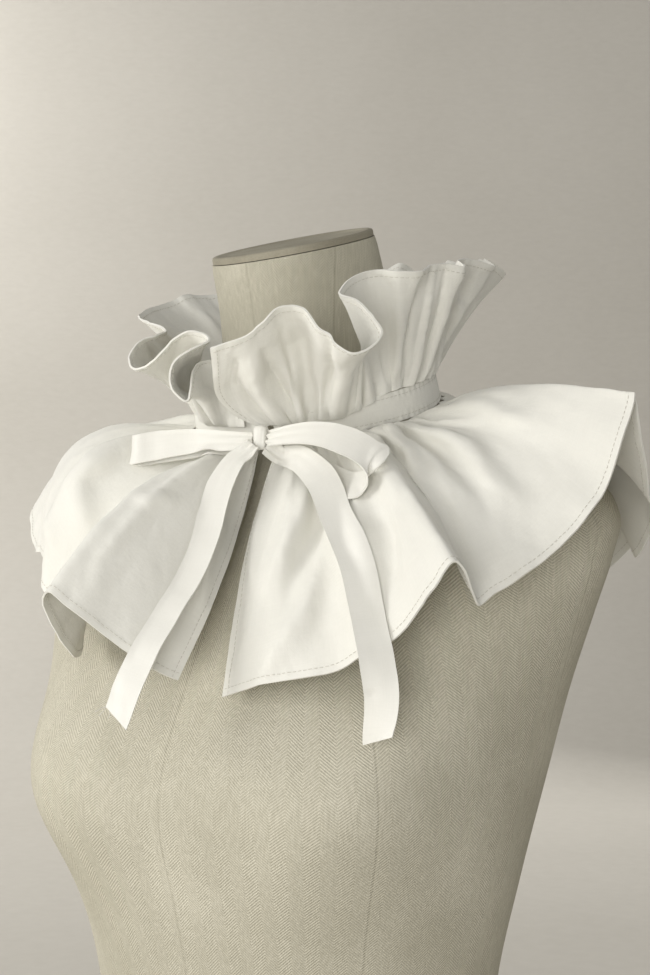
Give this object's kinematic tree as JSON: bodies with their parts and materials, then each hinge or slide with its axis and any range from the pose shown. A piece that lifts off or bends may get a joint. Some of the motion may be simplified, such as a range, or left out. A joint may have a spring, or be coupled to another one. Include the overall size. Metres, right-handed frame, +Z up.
{
  "type": "detachable gathered collar on a limbless dress form",
  "caption": "White cotton collar with a standing frill above a neck band and a wide cape flounce below it, tied at the throat with ribbon, shown on a limbless dress form.",
  "frame": {"origin": "centre of the dress form's flat underside, on the surface that it stands on", "axes": "+Z up along the form towards its neck; the form's front faces -Y; +X is the wearer's left"},
  "size_m": [0.422, 0.3654, 0.6717],
  "materials": {
    "cotton": "matt woven, lightly pressed",
    "ribbon": "soft satin",
    "linen": "matt herringbone weave"
  },
  "bodies": {
    "root": {"form_body": "linen", "neck_cap": "linen", "neck_band": "cotton", "standing_frill": "cotton", "cape_flounce": "cotton", "bow_knot": "ribbon", "bow_loop_right": "ribbon", "bow_loop_left": "ribbon", "bow_tail_right": "ribbon", "bow_tail_left": "ribbon"}
  },
  "joints": []
}
